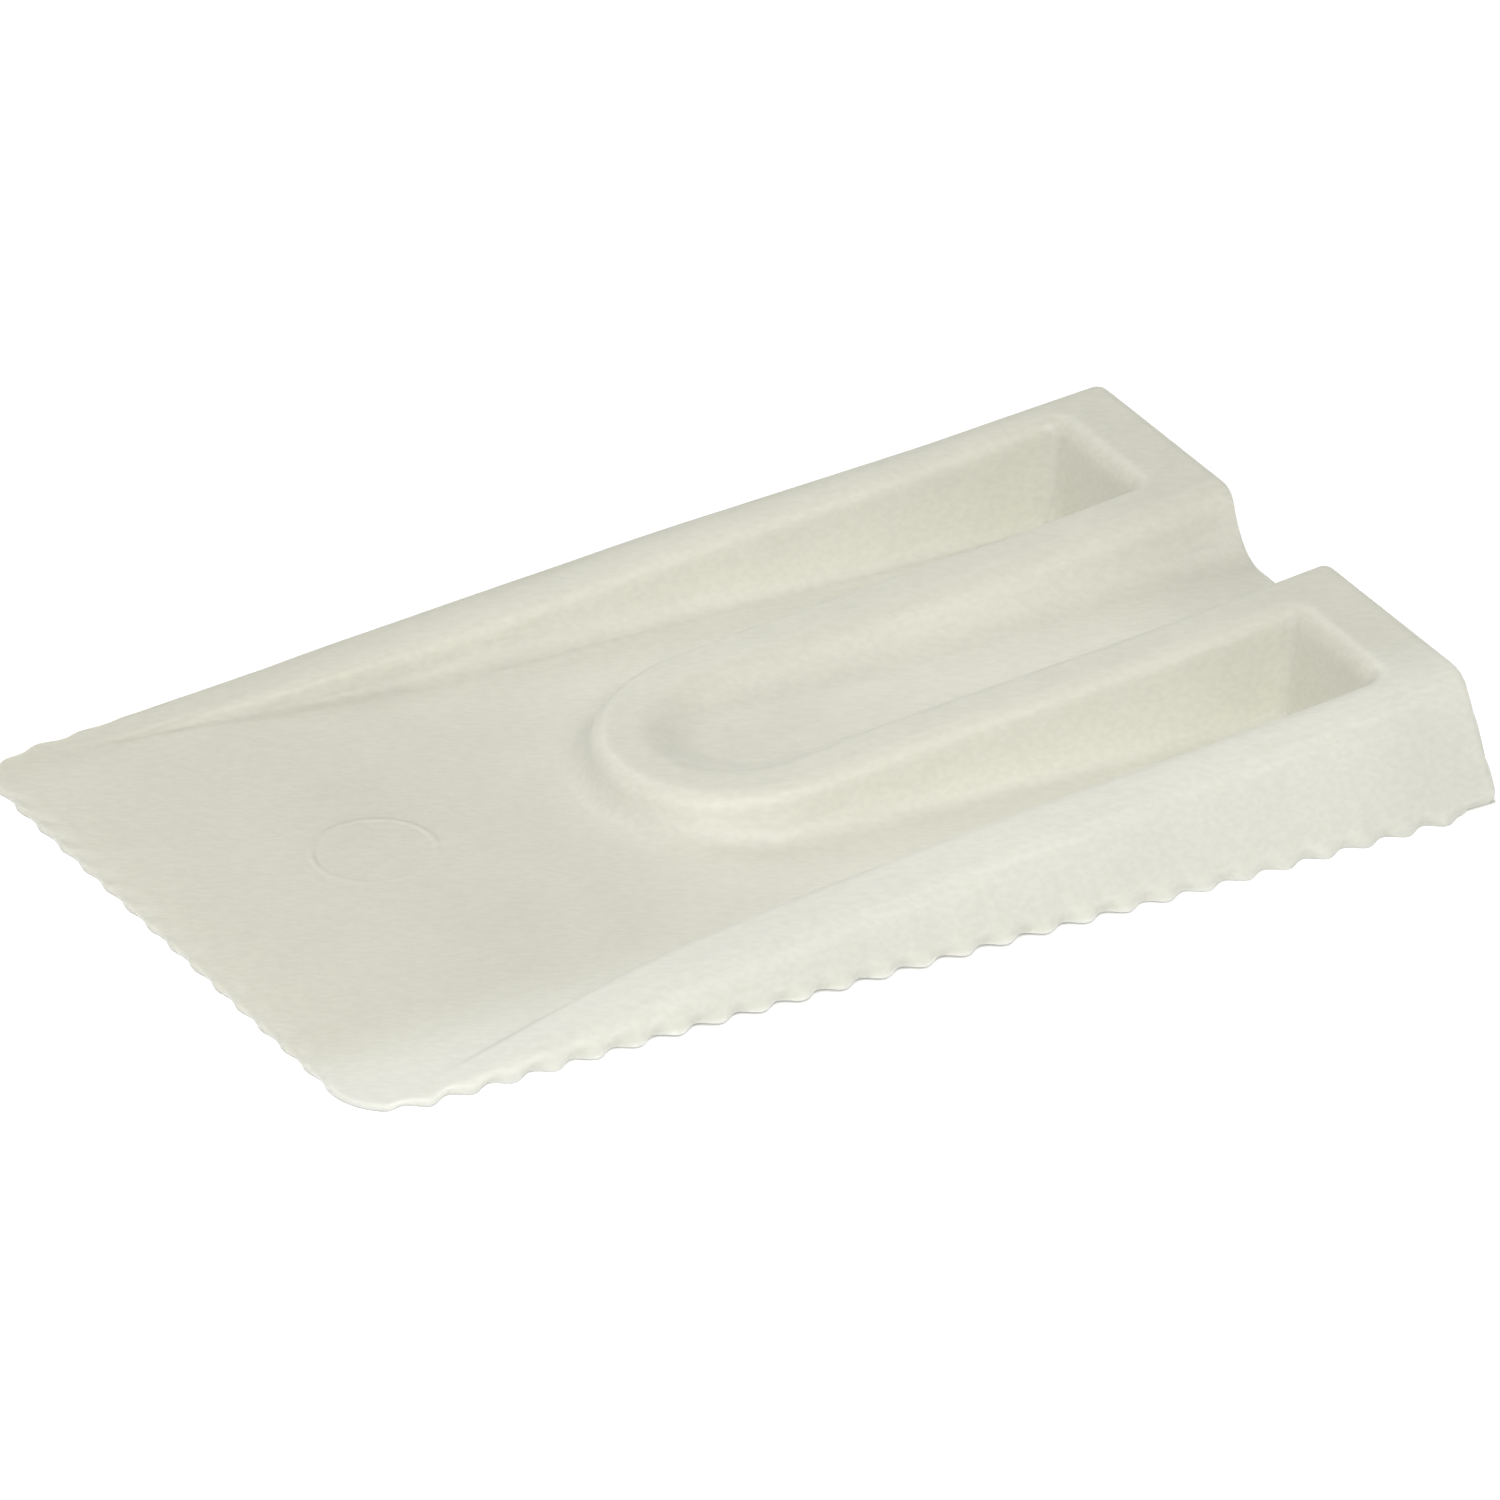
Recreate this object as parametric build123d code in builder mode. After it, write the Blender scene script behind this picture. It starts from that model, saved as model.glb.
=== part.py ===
from build123d import *
from math import atan, cos, degrees
import os

os.makedirs("parts", exist_ok=True)

# Notched adhesive spreader, moulded in one piece: a thin toothed blade, a wedge of hollow rims
# and a hollow U-shaped rib round the finger channel.
# Millimetres. X runs from the toothed blade to the handle end, Z is up, and the origin is the
# centre of the footprint on the surface that the spreader lies on.

# Driving dimensions
length = 112.2  # blade edge to handle end
width = 72.1  # over the tips of the side teeth
height = 12.2  # at the handle end
wedge_start = 1.4  # from the blade edge to where the wedge top would reach the table
wall = 1.5  # thickness of the hollow walls, measured level
roof = 1.4  # thickness under the wedge top
floor_top = 1.4  # thickness of the flat floor
edge_thickness = 0.4  # of the toothed short edge
taper_run = 20.0  # the blade thins towards its edge over this length
outer_slope = 0.39  # how far the outer walls lean in for each millimetre of height
end_lean = 0.11  # the same for the handle end
blade_corner = 6.0  # plan radius of the two blade corners
handle_corner = 1.6  # radius of the two upright corners at the handle end
soft_edge = 1.8  # rounding of the handle end's top edge and of the rims' outer edges

# Outlines where they meet the wedge top: half widths, and places from the blade edge
trough_half = 27.7
trough_end = 104.5
trough_slope = 0.265
flare_start = 50.0  # from here to the blade the trough widens, and the rims run out
flare_half = 35.4  # the trough's half width at the blade edge
rib_half = 13.0
rib_slope = 0.20
channel_half = 7.7
channel_slope = 0.42
channel_floor = 4.4  # height of the channel's floor
bow_centre = 57.6  # centre of the rib's round end
pocket_corner = 1.5  # plan radius of the pockets' corners
edge_break = 0.7  # bevel on the top edges beside the troughs and the channel
foot_radius = 1.5  # fillet where a wall meets a floor

# Teeth
side_pitch = 4.0
side_depth = 1.04  # crest to valley
side_first = 2.43  # first crest from the blade edge, lost in the rounded corner
side_crests = 27
side_rise = 3.0  # the notches run out in the leaning wall below this height
blade_pitch = 4.02
blade_depth = 0.35
blade_first = 30.6  # first crest from the centre line
blade_crests = 16
crest_flat = 0.04  # how far the wave's crests would stand past the edge

# Plain round mark on the floor
mark_place = 22.2  # from the blade edge
mark_side = 3.1  # from the centre line
mark_radius = 5.45
mark_width = 0.5
mark_height = 0.15

blade_x = -length / 2
handle_x = length / 2
wedge_rise = height / (length - wedge_start)
taper_rise = (floor_top - edge_thickness) / taper_run
rim_start = (edge_thickness + wedge_rise * wedge_start) / (wedge_rise - taper_rise)
tilt = atan(wedge_rise)
wedge_top = Plane(
    origin=(blade_x + wedge_start, 0, 0),
    x_dir=(1, 0, wedge_rise),
    z_dir=(-wedge_rise, 0, 1),
)
handle_end = Plane(origin=(handle_x, 0, 0), x_dir=(0, 1, 0), z_dir=(1, 0, end_lean))
lift = 6.0  # the troughs and the channel are cut from this far above the wedge top
beyond = 30.0  # how far a cut runs past the part


def on_wedge(place):
    """Distance along the wedge top to a place measured from the blade edge."""
    return (place - wedge_start) / cos(tilt)


def bow(half_width):
    """U outline: round towards the blade, and open past the handle end."""
    centre = on_wedge(bow_centre)
    with Locations((centre, 0)):
        Circle(half_width)
        Rectangle(length, 2 * half_width, align=(Align.MIN, Align.CENTER))


def keep_above_floor():
    """Cut away what lies below the floor, which falls towards the blade edge."""
    with BuildSketch(Plane.XZ) as below:
        with Locations((blade_x, 0)):
            Polygon(
                (-beyond, edge_thickness - taper_rise * beyond),
                (taper_run, floor_top),
                (length + beyond, floor_top),
                (length + beyond, -beyond),
                (-beyond, -beyond),
                align=None,
            )
    extrude(below.sketch, amount=width, both=True, mode=Mode.SUBTRACT)


def keep_above(level):
    """Cut away what lies below a height."""
    with Locations((0, 0, level - beyond)):
        Box(4 * length, 4 * width, 2 * beyond, mode=Mode.SUBTRACT)


def round_foot():
    """Round the edges between the bottom of a cutter and its walls, inside the part."""
    bottoms = faces().filter_by(lambda face: face.normal_at().Z < -0.99)
    inside = bottoms.edges().filter_by(lambda edge: blade_x + 1 < edge.center().X < handle_x + 1)
    creases = inside.filter_by(lambda edge: inside.count(edge) > 1)
    fillet([edge for edge in inside if edge not in creases], foot_radius)


def trough(grow, steep, rib_steep, start, end):
    """Space between the rims and round the rib, with its walls moved out by a distance.

    It is cut from a height above the wedge top to a depth below it.
    """
    with BuildPart() as space:
        reach = grow + steep * start
        half = trough_half + reach
        with BuildSketch(wedge_top.offset(start)) as tray:
            with BuildLine():
                end_wall = on_wedge(trough_end) + reach
                straight = Line((end_wall, half), (on_wedge(flare_start), half))
                flare = TangentArc(straight @ 1, (0, flare_half + reach), tangent=(-1, 0))
                Polyline(flare @ 1, (-beyond, half), (-beyond, 0), (end_wall, 0), straight @ 0)
            make_face()
            mirror(about=Plane.XZ)
            fillet(tray.vertices().group_by(Axis.X)[-1], pocket_corner)
        extrude(amount=-(start + end), taper=degrees(atan(steep)))
        with BuildSketch(wedge_top.offset(start)):
            bow(rib_half - grow - rib_steep * start)
        extrude(amount=-(start + end), taper=-degrees(atan(rib_steep)), mode=Mode.SUBTRACT)
    return space.part


def channel(grow, steep, start, end, bottom):
    """Finger channel inside the rib, with its walls moved out by a distance."""
    with BuildPart() as space:
        with BuildSketch(wedge_top.offset(start)):
            bow(channel_half + grow + steep * start)
        extrude(amount=-(start + end), taper=degrees(atan(steep)))
        keep_above(bottom)
    return space.part


def drafted_block(inset, bottom, top):
    """Block with the spreader's plan outline and leaning walls, its walls moved in by a distance."""
    with BuildPart() as solid:
        with BuildSketch(Plane.XY.offset(bottom)) as plan:
            with Locations(((beyond + inset) / 2, 0)):
                Rectangle(length + beyond - inset, width - 2 * (inset + outer_slope * bottom))
            fillet(plan.vertices().group_by(Axis.X)[0], blade_corner - inset)
        extrude(amount=top - bottom, taper=degrees(atan(outer_slope)))
        split(bisect_by=handle_end.offset(-inset), keep=Keep.BOTTOM)
    return solid.part


def notch_row(edge_start, half_waves, pitch, depth):
    """Space outside a wavy edge, with its first crest at the origin of a plane."""
    middle = depth / 2 - crest_flat
    quarter = pitch / 4
    end = (2 * half_waves - 1) * quarter
    with BuildPart() as row:
        with BuildSketch(edge_start):
            with BuildLine():
                for half in range(half_waves):
                    place = 2 * half * quarter
                    peak = depth - crest_flat if half % 2 else -crest_flat
                    ThreePointArc((place - quarter, middle), (place, peak), (place + quarter, middle))
                Polyline((end, middle), (end, -pitch), (-quarter, -pitch), (-quarter, middle))
            make_face()
        extrude(amount=side_rise)
    return row.part


with BuildPart() as notches:
    side_start = Plane((blade_x + side_first, -width / 2, 0))
    add(notch_row(side_start, 2 * side_crests, side_pitch, side_depth))
    with BuildSketch(side_start):
        with Locations(((side_crests - 0.5) * side_pitch, side_depth - crest_flat)):
            Rectangle(beyond, beyond, align=(Align.MIN, Align.MAX))
    extrude(amount=side_rise)
    mirror(about=Plane.XZ)
    blade_start = Plane((blade_x, blade_first, 0), x_dir=(0, -1, 0))
    add(notch_row(blade_start, 2 * blade_crests - 1, blade_pitch, blade_depth))


with BuildPart() as trough_space:
    add(trough(0, trough_slope, rib_slope, lift, height))
    keep_above_floor()
    round_foot()


with BuildPart() as trough_bevel:
    add(trough(edge_break, 1, 1, 1, edge_break))
    keep_above_floor()


with BuildPart() as channel_space:
    add(channel(0, channel_slope, lift, height, channel_floor))
    round_foot()


with BuildPart() as hollow:
    add(drafted_block(wall, -1, height))
    split(bisect_by=wedge_top.offset(-roof), keep=Keep.BOTTOM)
    add(trough(wall, trough_slope, rib_slope, 1, height + 2), mode=Mode.SUBTRACT)
    add(channel(wall, channel_slope, 1, height, channel_floor - roof), mode=Mode.SUBTRACT)


with BuildPart() as spreader:
    add(drafted_block(0, 0, height + 1))
    split(bisect_by=wedge_top, keep=Keep.BOTTOM)
    add(drafted_block(0, 0, floor_top))
    uprights = edges().filter_by(lambda edge: abs(edge.tangent_at(0.5).Z) > 0.8)
    fillet(uprights.sort_by(Axis.X)[-2:], handle_corner)
    shoulder = edges().filter_by(lambda edge: edge.center().Z > floor_top + 1)
    fillet(shoulder.filter_by(lambda edge: abs(edge.tangent_at(0.5).Z) < 0.8), soft_edge)
    with BuildSketch(Plane.XZ):
        with Locations((blade_x, 0)):
            Polygon(
                (-1, edge_thickness - taper_rise),
                (rim_start, edge_thickness + taper_rise * rim_start),
                (wedge_start + floor_top / wedge_rise, floor_top),
                (rim_start, height),
                (-1, height),
                align=None,
            )
    extrude(amount=width, both=True, mode=Mode.SUBTRACT)
    add(trough_space.part, mode=Mode.SUBTRACT)
    add(trough_bevel.part, mode=Mode.SUBTRACT)
    add(channel_space.part, mode=Mode.SUBTRACT)
    add(channel(edge_break, 1, 1, edge_break, channel_floor), mode=Mode.SUBTRACT)
    add(hollow.part, mode=Mode.SUBTRACT)
    add(notches.part, mode=Mode.SUBTRACT)
    with BuildSketch(Plane.XY.offset(floor_top)):
        with Locations((blade_x + mark_place, mark_side)):
            Circle(mark_radius)
            Circle(mark_radius - mark_width, mode=Mode.SUBTRACT)
    extrude(amount=mark_height)

spreader.part.label = "spreader"
export_step(spreader.part, "parts/spreader.step")
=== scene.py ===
"""A notched adhesive spreader of frosted translucent plastic, lying on a pale table.

The moulding's upper side is worked out as a field of rounded walls and its hollow underside is the
same field moved in by the wall thickness. Both are meshed along the rib, the rims and the teeth.
"""

import math

import bmesh
import bpy
import numpy as np
from mathutils import Matrix, Vector


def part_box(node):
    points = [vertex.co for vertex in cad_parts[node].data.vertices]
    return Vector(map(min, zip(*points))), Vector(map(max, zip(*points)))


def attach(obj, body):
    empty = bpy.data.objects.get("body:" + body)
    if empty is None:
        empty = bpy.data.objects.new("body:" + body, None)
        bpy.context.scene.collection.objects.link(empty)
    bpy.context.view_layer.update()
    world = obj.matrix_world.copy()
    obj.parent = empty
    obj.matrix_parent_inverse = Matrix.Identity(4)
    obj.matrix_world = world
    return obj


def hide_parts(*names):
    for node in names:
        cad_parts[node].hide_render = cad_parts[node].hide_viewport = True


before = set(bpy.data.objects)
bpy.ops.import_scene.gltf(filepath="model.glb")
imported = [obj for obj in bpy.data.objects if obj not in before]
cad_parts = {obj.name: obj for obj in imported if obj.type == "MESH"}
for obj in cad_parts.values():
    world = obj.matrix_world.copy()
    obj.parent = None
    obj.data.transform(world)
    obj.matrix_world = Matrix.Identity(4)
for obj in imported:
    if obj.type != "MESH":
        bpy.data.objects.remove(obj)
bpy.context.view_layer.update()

# Sizes in millimetres. A place is measured from the blade edge, a half width from the centre line.
MM = 0.001
CAD_LOW, CAD_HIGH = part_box("spreader")
LENGTH = (CAD_HIGH[0] - CAD_LOW[0]) / MM
HALF_WIDTH = (CAD_HIGH[1] - CAD_LOW[1]) / MM / 2
HALF_LENGTH = LENGTH * MM / 2
HEIGHT = 12.3
WEDGE_START = 1.4
CROWN, CROWN_SPANS = 0.45, ((8, 38), (62, 98))
WARP, WARP_SPANS = 0.34, ((8, 36), (62, 96))
WALL = 1.5
EDGE_LAND = 0.2
END_LEAN = 0.11
OUTER_SLOPE = 0.39
END_EDGE = 1.0
THIN_EDGE = 0.15
# Radii that grow with the wedge: a share of its height, with the least and the most radius
SHOULDER = (0.6, 0.2, 2.0)
CREST_EDGE = (0.25, 0.15, 1.2)
FOOT_FILL = (0.3, 0.2, 1.2)

FLOOR_TOP = 1.4
EDGE_THICKNESS = 0.42
TAPER_RUN = 20.0
FLOOR_EASE = 0.25
BLADE_CORNER = 6.0

TROUGH_HALF, TROUGH_END = 27.7, 104.5
TROUGH_SLOPE, END_SLOPE = 0.18, 0.2
FLARE, FLARE_START = 8.0, 50.0
END_FILL = 1.5
RIB_HALF, RIB_SLOPE, RIB_FILL = 13.2, 0.2, 1.0
CHANNEL_HALF, CHANNEL_SLOPE, CHANNEL_FLOOR = 7.7, 0.42, 4.4
CHANNEL_FILL, CHANNEL_EDGE = 2.4, 1.8
# Towards the handle end the channel's walls get steeper and its floor climbs
STEEPENING, STEEPENING_SPAN = 0.22, (80, 106)
CLIMB, CLIMB_SPAN = 1.1, (66, 108)
BOW_CENTRE = 57.0
BOW_FILL, BOW_FILL_SPANS = 1.2, ((36, 46), (54, 72))

SIDE_PITCH, SIDE_DEPTH, SIDE_FIRST, SIDE_END = 4.0, 1.02, 2.43, 108.43
END_INSET, END_INSET_RUN = 0.6, 1.0
BLADE_PITCH, BLADE_DEPTH, BLADE_FIRST = 4.02, 0.36, -29.7
BLADE_FADE = (29.6, 31.0)
# How high and how far in the notches fade out, and how deep they dip for each millimetre of cut
NOTCH_RISE, NOTCH_RUN, NOTCH_DIP = 1.6, 2.4, 0.6

MARK_PLACE, MARK_SIDE, MARK_RADIUS = 22.2, 3.1, 5.45
MARK_WIDTH, MARK_HEIGHT = 1.0, 0.06
# Across the spreader the ring mark gets fainter towards the front, down to a share of its height
MARK_FADE, FRONT_SHARE = (0, 7), 0.45
PIN_PLACE, PIN_HEIGHT, PIN_RADIUS, PIN_DEPTH, PIN_EASE = 105.7, 3.8, 1.3, 0.08, 0.2

PLASTIC = (0.548, 0.543, 0.462, 1)
# Colour of the painted glow along the front edge
PLASTIC_PAINTED_FRONT_GLOW = (0.665, 0.665, 0.605, 1)
# Colour of the painted glow where light shines through the walls
PLASTIC_PAINTED_GLOW = (0.78, 0.775, 0.7, 1)
# How much painted glow, the lighter colour that stands in for light shining through the walls, shows: on
# top, well below it, and more on steep walls, on walls that are turned from the light and on the rib's nose
TOP_SHARE, DEEP_SHARE, STEEP_SHARE, TURNED_SHARE, NOSE_SHARE = 0.22, 0.36, 0.4, 0.6, 0.22
DEEP = 5.0
# Parts of the surface's outward direction: upwards on flat and steep surfaces, along the turned way, along x
FLAT, STEEP = 0.99, 0.3
TURNED_WAY, TURNED_SPAN, NOSE_SPAN = (0.8, 0.9, 0), (0.1, 0.8), (-0.1, -0.7)
# Where that fades, in millimetres from the middle of the spreader
NOSE_FADE, RIM_FADE = (0, 20), (32.5, 29.5)
HANDLE_FADE, HANDLE_SHARE = (22, 52), 0.6
BLADE_END_FADE, BLADE_END_SHARE = (-35, 5), 0.35
# The front edge gets painted glow, most of all near the blade, and the handle end gets painted shade that
# makes it a little darker
FRONT_GLOW, BLADE_GLOW_RUN, BLADE_GLOW_SHARES = (-21, -33), 30, (0.72, 0.95)
END_PAINTED_SHADE, END_PAINTED_SHADE_SPAN = 0.965, (38, 50)
# Grains of the surface: sizes, and the way that the dashes run
CLOUD_SIZE, DASH_SIZE, ROUGH_SIZE, GRAIN_SIZE = 12.0, 0.45, 3.0, 0.16
DASH_STRETCH, DASH_TURN = (2.4, 1, 1), math.radians(-30)
NOISE_SPAN = (0.3, 0.7)
DASH_HEIGHT, GRAIN_HEIGHT = 0.05, 0.02
SCATTER_LENGTH = 1.3

# Mesh: gaps between rows of points along the outline, at the blade, its corners (radians), the sides and
# the handle end, whose rows start afresh at two places
BLADE_GAP, CORNER_GAP, SIDE_GAP, HANDLE_GAP, END_GAP = 0.42, 0.06, 0.43, 0.44, 0.3
END_ROWS = (102, 107)
# The inner rows keep a margin from the outline. The first part of its layers ends at the rim's inner edge,
# which is looked up part of the way across the margin and never nearer the blade than a least place.
MARGIN = 12.0
RIM_LAYERS, RIM_ACROSS, RIM_LEAST = 0.3, 0.4, 14
# Spacings of the layers as (start, end, gap): along the rib's side, out to the margin, across the margin
UPPER_SPACING = (((0, 4.2, 1.05), (4.2, 9.6, 0.36), (9.6, 12.0, 0.6), (12.0, 15.9, 0.26), (15.9, 17.5, 0.8)),
                 ((0, 1, 0.125),),
                 ((0, 0.13, 0.13), (0.13, 0.36, 0.0175), (0.36, 0.84, 0.06), (0.84, 1, 0.02)))
LOWER_SPACING = (((0, 4.2, 2.1), (4.2, 9.6, 0.9), (9.6, 12.0, 1.2), (12.0, 15.9, 0.65), (15.9, 17.5, 1.6)),
                 ((0, 1, 0.34),),
                 ((0, 0.13, 0.13), (0.13, 0.36, 0.046), (0.36, 0.84, 0.12), (0.84, 1, 0.04)))

WEDGE_RISE = HEIGHT / (LENGTH - WEDGE_START)
TAPER_RISE = (FLOOR_TOP - EDGE_THICKNESS) / TAPER_RUN


def step(value, start, end):
    """Smooth rise from 0 to 1."""
    t = np.clip((value - start) / (end - start), 0, 1)
    return t * t * (3 - 2 * t)


def within(a, b, radius):
    """Field of the space inside two fields, with the edge between them rounded."""
    inside = np.minimum(-radius, np.maximum(a, b))
    return inside + np.hypot(np.maximum(radius + a, 0), np.maximum(radius + b, 0))


def joined(a, b, radius):
    """Field of the space inside either of two fields, with the corner between them filled."""
    return -within(-a, -b, radius)


def swell(x, spans):
    """Smooth rise from 0 to 1 over one span of places and fall back over another."""
    rise, fall = spans
    return step(x, *rise) * (1 - step(x, *fall))


def square_to(slope):
    """Turns a level distance from a leaning wall into the distance square to it."""
    return 1 / np.hypot(1, slope)


def wedge_height(x):
    """Height of the rims, the rib and the end block, a straight rise with a slight crown."""
    return WEDGE_RISE * (x - WEDGE_START) + CROWN * swell(x, CROWN_SPANS)


def grown(x, radius):
    """Radius that is a share of the wedge's height, between a least and a most radius."""
    share, least, most = radius
    return np.clip(share * wedge_height(x), least, most)


def floor_height(x):
    """Height of the tray's floor, which thins towards the blade edge."""
    taper = EDGE_THICKNESS + TAPER_RISE * x
    return -within(-taper, -FLOOR_TOP, FLOOR_EASE)


def trough_half(x):
    """Half width of the tray between the rims, which run out towards the blade."""
    return TROUGH_HALF + FLARE * np.clip(1 - x / FLARE_START, 0, 1) ** 2


def warp_height(x):
    """The moulding bows up a little between its ends."""
    return WARP * swell(x, WARP_SPANS)


def plan_field(x, y):
    """Distance outside the plan outline without teeth, a rectangle with two rounded corners."""
    across = np.abs(y) - (HALF_WIDTH - BLADE_CORNER)
    along = BLADE_CORNER - x
    beyond = np.hypot(np.maximum(across, 0), np.maximum(along, 0))
    return beyond + np.minimum(np.maximum(across, along), 0) - BLADE_CORNER


def moulding(x, y, z, gap):
    """Field of the solid moulding, below zero inside it. gap is the distance in from the teeth."""
    wedge = z - wedge_height(x)
    depth = -wedge
    rim = (trough_half(x) - TROUGH_SLOPE * depth - np.abs(y)) * square_to(TROUGH_SLOPE)
    end_block = (TROUGH_END - END_SLOPE * depth - x) * square_to(END_SLOPE)
    out = np.hypot(np.minimum(x - BOW_CENTRE, 0), y)
    rib = (out - RIB_HALF - RIB_SLOPE * depth) * square_to(RIB_SLOPE)
    raised = joined(joined(rim, end_block, END_FILL), rib, RIB_FILL)
    raised = within(raised, wedge, grown(x, CREST_EDGE))
    slope = CHANNEL_SLOPE - STEEPENING * step(x, *STEEPENING_SPAN)
    channel = (CHANNEL_HALF - slope * depth - out) * square_to(slope)
    channel_floor = CHANNEL_FLOOR + CLIMB * step(x, *CLIMB_SPAN)
    channel = joined(channel, z - channel_floor, CHANNEL_FILL)
    raised = within(raised, channel, CHANNEL_EDGE)
    foot = grown(x, FOOT_FILL) + BOW_FILL * swell(x, BOW_FILL_SPANS)
    body = joined(raised, z - floor_height(x), foot)
    lean = OUTER_SLOPE * np.maximum(z - EDGE_LAND, 0)
    outer = (plan_field(x, y) + lean) * square_to(OUTER_SLOPE)
    off_pin = np.hypot(x - PIN_PLACE, z - PIN_HEIGHT)
    pin = 1 - step(off_pin, PIN_RADIUS - PIN_EASE, PIN_RADIUS + PIN_EASE)
    outer = outer + PIN_DEPTH * pin * (y < 0)
    body = within(body, outer, grown(x, SHOULDER))
    end = (x - LENGTH + END_LEAN * z) * square_to(END_LEAN)
    body = within(body, end, END_EDGE)
    return within(body, -gap, THIN_EDGE)


def height_at(x, y, gap, level):
    """Height where the field reaches a level, found by halving."""
    halvings = 30
    low = np.full_like(x, -2.0)
    high = np.full_like(x, HEIGHT + 1)
    for _ in range(halvings):
        middle = (low + high) / 2
        inside = moulding(x, y, middle, gap) < level
        low = np.where(inside, middle, low)
        high = np.where(inside, high, middle)
    return middle


def places(*spans):
    """Row of places made of spans (start, end, gap) joined end to end."""
    row = [np.linspace(start, end, round(abs(end - start) / gap), endpoint=False)
           for start, end, gap in spans]
    return np.append(np.concatenate(row), spans[-1][1])


def side_wave(x):
    """Wave of the side teeth, 0 at the crests and 1 in the valleys, and past them a plain inset edge."""
    wave = (1 - np.cos(2 * math.pi * (x - SIDE_FIRST) / SIDE_PITCH)) / 2
    inset = 1 + END_INSET * step(x, SIDE_END, SIDE_END + END_INSET_RUN)
    wave = np.where(x > SIDE_END, inset, wave)
    return np.where(x < SIDE_FIRST, 0, wave)


def blade_wave(y):
    """Wave of the short edge's teeth, 0 at the crests and 1 in the valleys."""
    wave = (1 - np.cos(2 * math.pi * (y - BLADE_FIRST) / BLADE_PITCH)) / 2
    return wave * (1 - step(np.abs(y), *BLADE_FADE))


def half_rows():
    """Edge points from the middle of the blade round to the handle end, and a point inside each."""
    side = HALF_WIDTH - BLADE_CORNER
    inner_side = side - MARGIN
    inner_end = BLADE_CORNER + MARGIN
    y = places((0, side, BLADE_GAP))[:-1]
    edge = [np.c_[0 * y, y]]
    inner = [np.c_[0 * y + MARGIN, y * inner_side / side]]
    turn = places((0, math.pi / 2, CORNER_GAP))[:-1]
    arc = BLADE_CORNER * np.c_[1 - np.cos(turn), np.sin(turn)]
    edge.append(arc + (0, side))
    inner.append(arc + (MARGIN, inner_side))
    x = places((BLADE_CORNER, BOW_CENTRE, SIDE_GAP))[:-1]
    edge.append(np.c_[x, 0 * x + HALF_WIDTH])
    stretch = (BOW_CENTRE - inner_end) / (BOW_CENTRE - BLADE_CORNER)
    inner.append(np.c_[BOW_CENTRE - (BOW_CENTRE - x) * stretch, 0 * x + HALF_WIDTH - MARGIN])
    lean = END_LEAN * HEIGHT
    x = places((BOW_CENTRE, END_ROWS[0], HANDLE_GAP), (*END_ROWS, END_GAP),
               (END_ROWS[1], LENGTH - lean, END_GAP), (LENGTH - lean, LENGTH, lean / 3))
    edge.append(np.c_[x, 0 * x + HALF_WIDTH])
    inner.append(np.c_[x, 0 * x + HALF_WIDTH - MARGIN])
    return np.concatenate(edge), np.concatenate(inner)


def plan_grid(spacing):
    """Plan points, rows by layers, out from the centre line or the bow's centre to the outline.

    With them come their distance in from the outline, and how far and which way the teeth cut in there.
    """
    far_edge, far_inner = half_rows()
    mirror = np.array((1, -1))
    edge = np.concatenate((far_edge[:0:-1] * mirror, far_edge))
    inner = np.concatenate((far_inner[:0:-1] * mirror, far_inner))
    spine = np.c_[np.maximum(edge[:, 0], BOW_CENTRE), 0 * edge[:, 0]]
    away = inner - spine
    reach = np.hypot(away[:, 0], away[:, 1])[:, None]
    away = away / reach
    strip = places(*spacing[0])
    across = places(*spacing[1])[1:]
    margin = places(*spacing[2])[1:]
    place = inner[:, 0] + (edge[:, 0] - inner[:, 0]) * RIM_ACROSS
    trough_edge = (trough_half(np.maximum(place, RIM_LEAST)) - HALF_WIDTH + MARGIN) / MARGIN
    follow = np.stack([np.interp(margin, (0, RIM_LAYERS, 1), (0, share, 1)) for share in trough_edge])
    follow = follow[:, :, None]
    out = np.concatenate((np.broadcast_to(strip, (len(edge), len(strip))),
                          strip[-1] + (reach - strip[-1]) * across), axis=1)
    rib_side = spine[:, None] + away[:, None] * out[:, :, None]
    grid = np.concatenate((rib_side, inner[:, None] + (edge - inner)[:, None] * follow), axis=1)
    gap = np.hypot(*np.moveaxis(grid - edge[:, None], 2, 0))
    on_side = np.abs(edge[:, 1]) > HALF_WIDTH - BLADE_CORNER
    cut = np.where(on_side, SIDE_DEPTH * side_wave(edge[:, 0]), BLADE_DEPTH * blade_wave(edge[:, 1]))
    inward = np.where(on_side, (0 * cut, -np.sign(edge[:, 1])), (1 + 0 * cut, 0 * cut)).T
    reached = 1 - step(gap, 0, NOTCH_RUN)
    notch = reached[:, :, None] * (cut[:, None] * inward)[:, None]
    return grid[:, :, 0], grid[:, :, 1], gap, notch


def ring_faces(first, second):
    """Quads between two loops of vertex numbers of the same length."""
    return np.stack((first[:-1], first[1:], second[1:], second[:-1]), axis=-1).reshape(-1, 4)


def strip_between(first, second):
    """Triangles between two rows of vertex numbers of any lengths."""
    faces = []
    last_i = len(first) - 1
    last_j = len(second) - 1
    i = j = 0
    while i < last_i or j < last_j:
        first_is_behind = i < last_i and (i + 1) * last_j <= (j + 1) * last_i
        if j == last_j or first_is_behind:
            faces.append((first[i], first[i + 1], second[j]))
            i += 1
        else:
            faces.append((first[i], second[j + 1], second[j]))
            j += 1
    return faces


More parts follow.
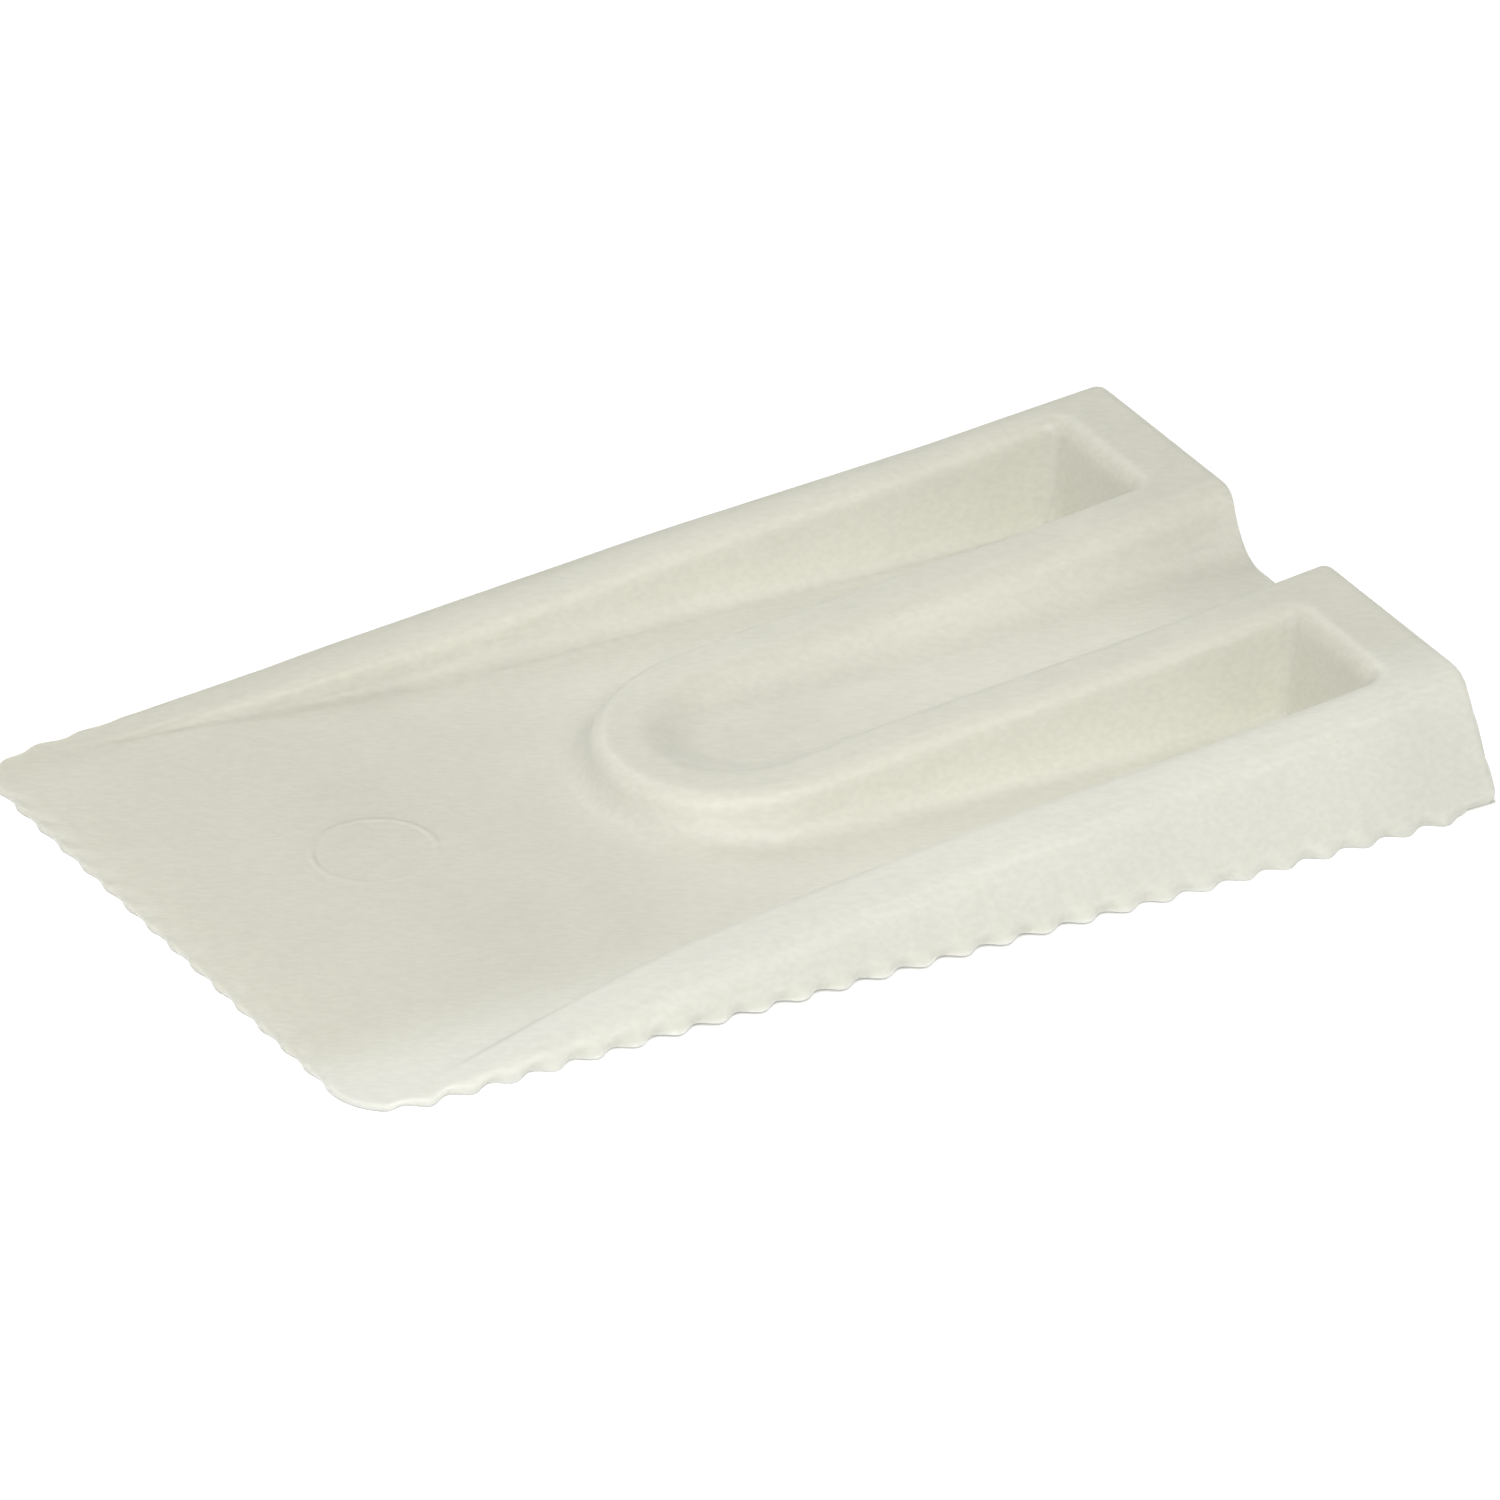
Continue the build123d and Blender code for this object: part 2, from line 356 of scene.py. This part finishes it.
def sheet(spacing, level):
    """Points of one side of the moulding, rows by layers, where the field reaches a level.

    The outer side is level 0. Any other level is the hollow side, which ends where the spreader rests.
    """
    x, y, gap, notch = plan_grid(spacing)
    z = height_at(x, y, gap, level)
    if level == 0:
        z = np.maximum(z - NOTCH_DIP * notch[:, :, 0], EDGE_LAND)
    else:
        z = within(z, 0.0, THIN_EDGE)
    moved = notch * np.clip(1 - z / NOTCH_RISE, 0, 1)[:, :, None]
    return np.stack((x + moved[:, :, 0], y + moved[:, :, 1], z + warp_height(x)), axis=-1)


def moulding_mesh(name):
    """Closed mesh of the moulding, in metres in the CAD frame."""
    weld = 0.002 * MM
    faces = []
    points = []
    borders = []
    for spacing, level in ((UPPER_SPACING, 0.0), (LOWER_SPACING, -WALL)):
        side = sheet(spacing, level)
        rows, layers = side.shape[:2]
        number = np.arange(rows * layers).reshape(rows, layers) + sum(map(len, points))
        points.append(side.reshape(-1, 3))
        faces += [ring_faces(number[i], number[i + 1]) for i in range(rows - 1)]
        borders.append((number[0], number[:, -1], number[-1]))
    skirt = [strip_between(upper, lower) for upper, lower in zip(*borders)]
    points = (np.concatenate(points) + (-LENGTH / 2, 0, 0)) * MM
    mesh = bpy.data.meshes.new(name)
    mesh.from_pydata(points.tolist(), [], np.concatenate(faces).tolist() + sum(skirt, []))
    shape = bmesh.new()
    shape.from_mesh(mesh)
    bmesh.ops.remove_doubles(shape, verts=shape.verts, dist=weld)
    bmesh.ops.recalc_face_normals(shape, faces=shape.faces)
    shape.to_mesh(mesh)
    shape.free()
    mesh.shade_smooth()
    mesh.set_sharp_from_angle(angle=math.radians(50))
    return mesh


class Shading:
    """Adds linked nodes to a material's tree."""

    def __init__(self, tree):
        self.tree = tree
        self.shader = tree.nodes["Principled BSDF"]
        where = self.node("ShaderNodeTexCoord")
        self.place = where.outputs["Object"]
        self.facing = where.outputs["Normal"]

    def node(self, kind, links=(), **values):
        """New node with some of its sockets linked and some of its settings set."""
        node = self.tree.nodes.new(kind)
        for key, value in values.items():
            setattr(node, key, value)
        for socket, source in links:
            self.tree.links.new(source, node.inputs[socket])
        return node

    def parts(self, source):
        """The three parts of a vector."""
        return self.node("ShaderNodeSeparateXYZ", [("Vector", source)]).outputs

    def sums(self, operation, first, second=None):
        """Sum, product or the like of a socket and another socket or plain number."""
        node = self.node("ShaderNodeMath", [(0, first)], operation=operation)
        if isinstance(second, float):
            node.inputs[1].default_value = second
        elif second:
            self.tree.links.new(second, node.inputs[1])
        return node.outputs[0]

    def vector(self, operation, source, fixed):
        """Number made from a vector socket and a fixed vector."""
        node = self.node("ShaderNodeVectorMath", [(0, source)], operation=operation)
        node.inputs[1].default_value = fixed
        return node.outputs["Value"]

    def ramp(self, source, start, end, low, high):
        """Smooth change from low to high while the source goes from start to end."""
        node = self.node("ShaderNodeMapRange", [("Value", source)], interpolation_type="SMOOTHSTEP")
        for key, value in (("From Min", start), ("From Max", end), ("To Min", low), ("To Max", high)):
            node.inputs[key].default_value = value
        return node.outputs["Result"]

    def fade(self, source, span, low, high):
        """Ramp over a span in millimetres."""
        return self.ramp(source, span[0] * MM, span[1] * MM, low, high)

    def mix(self, share, first, second):
        """Blend of two colours, each a socket or a plain colour."""
        node = self.node("ShaderNodeMix", [("Factor", share)], data_type="RGBA")
        for key, value in (("A", first), ("B", second)):
            socket = next(s for s in node.inputs if s.name == key and s.type == "RGBA")
            if isinstance(value, tuple):
                socket.default_value = value
            else:
                self.tree.links.new(value, socket)
        return next(s for s in node.outputs if s.type == "RGBA")

    def noise(self, size, detail, stretch=(1, 1, 1), turn=0.0):
        """Noise whose grains measure a size in millimetres, stretched along turned axes."""
        spread = self.node("ShaderNodeMapping", [("Vector", self.place)], vector_type="TEXTURE")
        spread.inputs["Rotation"].default_value = (0, 0, turn)
        spread.inputs["Scale"].default_value = [size * MM * length for length in stretch]
        node = self.node("ShaderNodeTexNoise", [("Vector", spread.outputs["Vector"])])
        node.inputs["Scale"].default_value = 1.0
        node.inputs["Detail"].default_value = detail
        return node.outputs["Fac"]

    def bump(self, source, height, strength, under=None):
        """Surface relief of a height in millimetres, added to the relief under it."""
        node = self.node("ShaderNodeBump", [("Height", source)])
        node.inputs["Distance"].default_value = height * MM
        node.inputs["Strength"].default_value = strength
        if under:
            self.tree.links.new(under, node.inputs["Normal"])
        return node.outputs["Normal"]


def painted_light_through(shading, along, across):
    """Share of painted glow for light that shines through the walls, by depth under the wedge and by the way
    they face.
    """
    tilt = shading.vector("DOT_PRODUCT", shading.place, (WEDGE_RISE, 0, -1))
    top = WEDGE_RISE * (WEDGE_START * MM - HALF_LENGTH)
    depth = shading.ramp(tilt, top, top + DEEP * MM, TOP_SHARE, DEEP_SHARE)
    facing_x, _, facing_z = shading.parts(shading.facing)
    steep = shading.ramp(facing_z, FLAT, STEEP, 0.0, STEEP_SHARE)
    turned = shading.vector("DOT_PRODUCT", shading.facing, TURNED_WAY)
    turned = shading.ramp(turned, *TURNED_SPAN, 0.0, TURNED_SHARE)
    nose = shading.ramp(facing_x, *NOSE_SPAN, 0.0, NOSE_SHARE)
    nose = shading.sums("MULTIPLY", nose, shading.fade(along, NOSE_FADE, 1.0, 0.0))
    share = shading.sums("ADD", shading.sums("ADD", depth, steep), shading.sums("ADD", turned, nose))
    fades = ((shading.sums("ABSOLUTE", across), RIM_FADE, 0.0, 1.0),
             (along, HANDLE_FADE, 1.0, HANDLE_SHARE),
             (along, BLADE_END_FADE, BLADE_END_SHARE, 1.0))
    for source, span, low, high in fades:
        share = shading.sums("MULTIPLY", share, shading.fade(source, span, low, high))
    return share


def plastic_colour(shading, dashes):
    """Milky white, with painted glow at the front edge and where light shines through, painted shade at the
    handle end, and cloudy variation.
    """
    along, across, _ = shading.parts(shading.place)
    blade_glow = shading.ramp(along, BLADE_GLOW_RUN * MM - HALF_LENGTH, -HALF_LENGTH, *BLADE_GLOW_SHARES)
    # Painted glow: the front edge is lightened, most of all near the blade
    front_glow = shading.sums("MULTIPLY", shading.fade(across, FRONT_GLOW, 0.0, 1.0), blade_glow)
    colour = shading.mix(front_glow, PLASTIC, PLASTIC_PAINTED_FRONT_GLOW)
    # Painted glow: the lighter colour stands in for light shining through the walls
    colour = shading.mix(painted_light_through(shading, along, across), colour, PLASTIC_PAINTED_GLOW)
    cloud = shading.ramp(shading.noise(CLOUD_SIZE, 3), *NOISE_SPAN, 0.988, 1.012)
    speckle = shading.ramp(dashes, *NOISE_SPAN, 0.97, 1.02)
    tone_and_painted_shade = shading.sums("MULTIPLY", cloud, speckle)
    # Painted shade: the handle end is darkened a little, as if less light reaches it
    tone_and_painted_shade = shading.sums("MULTIPLY", tone_and_painted_shade, shading.fade(along, END_PAINTED_SHADE_SPAN, 1.0, END_PAINTED_SHADE))
    tinted = shading.node("ShaderNodeVectorMath", [(0, colour), (1, tone_and_painted_shade)], operation="MULTIPLY")
    return tinted.outputs["Vector"]


def ring_mark(shading):
    """Bead of the round mark on the floor, fainter on the front side."""
    across = shading.parts(shading.place)[1]
    height = (FLOOR_TOP + warp_height(MARK_PLACE)) * MM
    centre = (MARK_PLACE * MM - HALF_LENGTH, MARK_SIDE * MM, height)
    off_ring = shading.sums("SUBTRACT", shading.vector("DISTANCE", shading.place, centre), MARK_RADIUS * MM)
    bead = shading.fade(shading.sums("ABSOLUTE", off_ring), (MARK_WIDTH / 2, 0), 0.0, 1.0)
    return shading.sums("MULTIPLY", bead, shading.fade(across, MARK_FADE, FRONT_SHARE, 1.0))


def frosted_plastic():
    """Milky plastic that scatters light, with fine dashes and grain and a faint ring mark."""
    material = bpy.data.materials.new("frosted_plastic")
    material.use_nodes = True
    shading = Shading(material.node_tree)
    dashes = shading.noise(DASH_SIZE, 2, DASH_STRETCH, DASH_TURN)
    relief = shading.bump(dashes, DASH_HEIGHT, 0.6)
    relief = shading.bump(shading.noise(GRAIN_SIZE, 2), GRAIN_HEIGHT, 0.5, relief)
    relief = shading.bump(ring_mark(shading), MARK_HEIGHT, 1.0, relief)
    roughness = shading.ramp(shading.noise(ROUGH_SIZE, 2), *NOISE_SPAN, 0.42, 0.54)
    sources = (("Base Color", plastic_colour(shading, dashes)), ("Roughness", roughness), ("Normal", relief))
    for name, source in sources:
        shading.tree.links.new(source, shading.shader.inputs[name])
    shading.shader.inputs["Subsurface Weight"].default_value = 1.0
    shading.shader.inputs["Subsurface Radius"].default_value = (1.0, 1.0, 0.9)
    shading.shader.inputs["Subsurface Scale"].default_value = SCATTER_LENGTH * MM
    return material


spreader = bpy.data.objects.new("spreader_moulding", moulding_mesh("spreader_moulding"))
bpy.context.scene.collection.objects.link(spreader)
spreader.data.materials.append(frosted_plastic())
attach(spreader, "root")
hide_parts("spreader")


# Table and lights, in metres
TABLE_REACH = 3.0
SOFTBOX_SIZE = 0.5


def pale_table():
    """Plain floor just under the spreader."""
    mesh = bpy.data.meshes.new("table")
    reach = TABLE_REACH
    level = -0.01 * MM
    mesh.from_pydata([(-reach, -reach, level), (reach, -reach, level), (reach, reach, level),
                      (-reach, reach, level)], [], [(0, 1, 2, 3)])
    table = bpy.data.objects.new("table", mesh)
    bpy.context.scene.collection.objects.link(table)
    material = bpy.data.materials.new("pale_table")
    material.use_nodes = True
    shader = material.node_tree.nodes["Principled BSDF"]
    shader.inputs["Base Color"].default_value = (0.95, 0.95, 0.95, 1)
    shader.inputs["Roughness"].default_value = 0.9
    shader.inputs["Emission Color"].default_value = (1, 1, 1, 1)
    shader.inputs["Emission Strength"].default_value = 0.14
    mesh.materials.append(material)


def softbox(name, place, power):
    """Square area light aimed at the spreader."""
    lamp = bpy.data.lights.new(name, "AREA")
    lamp.size = SOFTBOX_SIZE
    lamp.energy = power
    light = bpy.data.objects.new(name, lamp)
    bpy.context.scene.collection.objects.link(light)
    turn = (-Vector(place)).to_track_quat("-Z", "Y")
    light.matrix_world = Matrix.Translation(place) @ turn.to_matrix().to_4x4()


pale_table()
softbox("key", (0.0, -0.514, 0.613), 3.2)
softbox("front_left", (-0.4, -0.4, 0.566), 2.4)
softbox("left", (-0.75, 0.0, 0.27), 0.55)
softbox("back", (0.0, 0.566, 0.566), 1.7)
world = bpy.data.worlds.new("studio")
bpy.context.scene.world = world
world.use_nodes = True
world.node_tree.nodes["Background"].inputs["Color"].default_value = (1, 1, 1, 1)
world.node_tree.nodes["Background"].inputs["Strength"].default_value = 0.36

# Camera
camera = bpy.data.objects.new("camera", bpy.data.cameras.new("camera"))
bpy.context.scene.collection.objects.link(camera)
camera.data.sensor_width = 36
camera.data.lens = 455.4
camera.data.clip_end = 10
camera.matrix_world = (
    Matrix.Translation((-0.71116, -1.25653, 0.78859))
    @ Matrix.Rotation(math.radians(-29.559), 4, "Z")
    @ Matrix.Rotation(math.radians(90 - 28.526), 4, "X")
    @ Matrix.Rotation(math.radians(0.102), 4, "Z")
)
bpy.context.scene.camera = camera
bpy.context.scene.view_settings.view_transform = "Standard"

bpy.context.view_layer.update()
